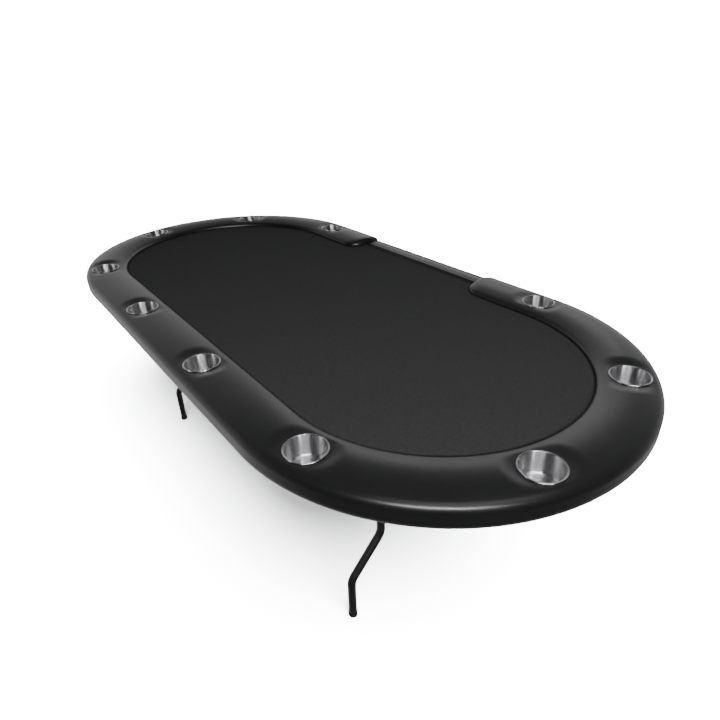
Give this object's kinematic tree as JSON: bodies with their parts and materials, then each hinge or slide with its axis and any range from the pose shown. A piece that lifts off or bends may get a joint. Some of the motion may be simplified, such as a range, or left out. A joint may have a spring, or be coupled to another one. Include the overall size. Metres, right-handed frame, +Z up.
{
  "type": "poker table",
  "caption": "Oval poker table with a padded vinyl rail, drop-in steel cup holders, a charcoal felt top, a dealer gap and two folding tube leg sets.",
  "frame": {"origin": "on the floor under the middle of the top", "axes": "+X along the length, +Y towards the dealer's gap, +Z up"},
  "size_m": [2.35, 1.16, 0.762],
  "materials": {
    "plywood": "birch plywood, sanded",
    "pine": "planed softwood",
    "vinyl": "black grained vinyl, satin",
    "foam": "open-cell foam",
    "felt": "charcoal felt, matte",
    "black_steel": "black powder coat",
    "zinc": "zinc plated",
    "cup_steel": "brushed stainless steel",
    "rubber": "moulded rubber"
  },
  "bodies": {
    "table_top": {"deck_board": "plywood", "apron_near": "plywood", "apron_far": "plywood", "apron_left": "plywood", "apron_right": "plywood", "batten_near": "pine", "batten_far": "pine", "batten_left": "pine", "batten_right": "pine", "rail_board_left": "plywood", "rail_board_right": "plywood", "rail_foam_left": "foam", "rail_foam_right": "foam", "rail_vinyl": "vinyl", "strip_board": "plywood", "strip_foam": "foam", "strip_vinyl": "vinyl", "playing_foam": "foam", "felt": "felt", "rail_screws": "zinc", "apron_screws": "zinc", "batten_screws": "zinc", "bracket_screws": "zinc", "leg_stops": "rubber", "pivot_brackets": "black_steel", "brace_anchors": "black_steel", "anchor_rivets": "zinc"},
    "right_leg_set": {"right_leg_near": "black_steel", "right_leg_far": "black_steel", "right_pivot_tube": "black_steel", "right_cross_tube": "black_steel", "right_feet": "rubber", "right_collars": "black_steel"},
    "right_upper_brace": {"right_upper_link": "black_steel", "right_elbow_rivet": "zinc"},
    "right_lower_brace": {"right_lower_link": "black_steel", "right_elbow_washer": "zinc"},
    "left_leg_set": {"left_leg_near": "black_steel", "left_leg_far": "black_steel", "left_pivot_tube": "black_steel", "left_cross_tube": "black_steel", "left_feet": "rubber", "left_collars": "black_steel"},
    "left_upper_brace": {"left_upper_link": "black_steel", "left_elbow_rivet": "zinc"},
    "left_lower_brace": {"left_lower_link": "black_steel", "left_elbow_washer": "zinc"},
    "cup_1": {"cup_1": "cup_steel"},
    "cup_2": {"cup_2": "cup_steel"},
    "cup_3": {"cup_3": "cup_steel"},
    "cup_4": {"cup_4": "cup_steel"},
    "cup_5": {"cup_5": "cup_steel"},
    "cup_6": {"cup_6": "cup_steel"},
    "cup_7": {"cup_7": "cup_steel"},
    "cup_8": {"cup_8": "cup_steel"},
    "cup_9": {"cup_9": "cup_steel"},
    "cup_10": {"cup_10": "cup_steel"}
  },
  "joints": [
    {"name": "right_leg_fold", "type": "hinge", "parent": "table_top", "child": "right_leg_set", "pos_m": [0.655, 0, 0.6965], "axis": [0, 1, 0], "range_deg": [0, 90]},
    {"name": "right_anchor_turn", "type": "hinge", "parent": "table_top", "child": "right_upper_brace", "pos_m": [0.26, 0, 0.6965], "axis": [0, 1, 0], "range_deg": [0, 142.98]},
    {"name": "right_brace_turn", "type": "hinge", "parent": "right_leg_set", "child": "right_lower_brace", "pos_m": [0.655, 0, 0.3985], "axis": [0, 1, 0], "range_deg": [-127.04, 0]},
    {"name": "left_leg_fold", "type": "hinge", "parent": "table_top", "child": "left_leg_set", "pos_m": [-0.655, 0, 0.6965], "axis": [0, -1, 0], "range_deg": [0, 87]},
    {"name": "left_anchor_turn", "type": "hinge", "parent": "table_top", "child": "left_upper_brace", "pos_m": [-0.26, 0, 0.6965], "axis": [0, -1, 0], "range_deg": [0, 139.25]},
    {"name": "left_brace_turn", "type": "hinge", "parent": "left_leg_set", "child": "left_lower_brace", "pos_m": [-0.655, 0, 0.3985], "axis": [0, -1, 0], "range_deg": [-123.53, 0]},
    {"name": "cup_1_lift", "type": "slide", "parent": "table_top", "child": "cup_1", "axis": [0, 0, 1], "range_m": [0, 0.07]},
    {"name": "cup_2_lift", "type": "slide", "parent": "table_top", "child": "cup_2", "axis": [0, 0, 1], "range_m": [0, 0.07]},
    {"name": "cup_3_lift", "type": "slide", "parent": "table_top", "child": "cup_3", "axis": [0, 0, 1], "range_m": [0, 0.07]},
    {"name": "cup_4_lift", "type": "slide", "parent": "table_top", "child": "cup_4", "axis": [0, 0, 1], "range_m": [0, 0.07]},
    {"name": "cup_5_lift", "type": "slide", "parent": "table_top", "child": "cup_5", "axis": [0, 0, 1], "range_m": [0, 0.07]},
    {"name": "cup_6_lift", "type": "slide", "parent": "table_top", "child": "cup_6", "axis": [0, 0, 1], "range_m": [0, 0.07]},
    {"name": "cup_7_lift", "type": "slide", "parent": "table_top", "child": "cup_7", "axis": [0, 0, 1], "range_m": [0, 0.07]},
    {"name": "cup_8_lift", "type": "slide", "parent": "table_top", "child": "cup_8", "axis": [0, 0, 1], "range_m": [0, 0.07]},
    {"name": "cup_9_lift", "type": "slide", "parent": "table_top", "child": "cup_9", "axis": [0, 0, 1], "range_m": [0, 0.07]},
    {"name": "cup_10_lift", "type": "slide", "parent": "table_top", "child": "cup_10", "axis": [0, 0, 1], "range_m": [0, 0.07]}
  ],
  "couplings": [
    {"joint": "right_anchor_turn", "follows": "right_leg_fold", "ratio": 1.5885},
    {"joint": "right_brace_turn", "follows": "right_leg_fold", "ratio": -1.4115},
    {"joint": "left_anchor_turn", "follows": "left_leg_fold", "ratio": 1.6005},
    {"joint": "left_brace_turn", "follows": "left_leg_fold", "ratio": -1.4197}
  ]
}
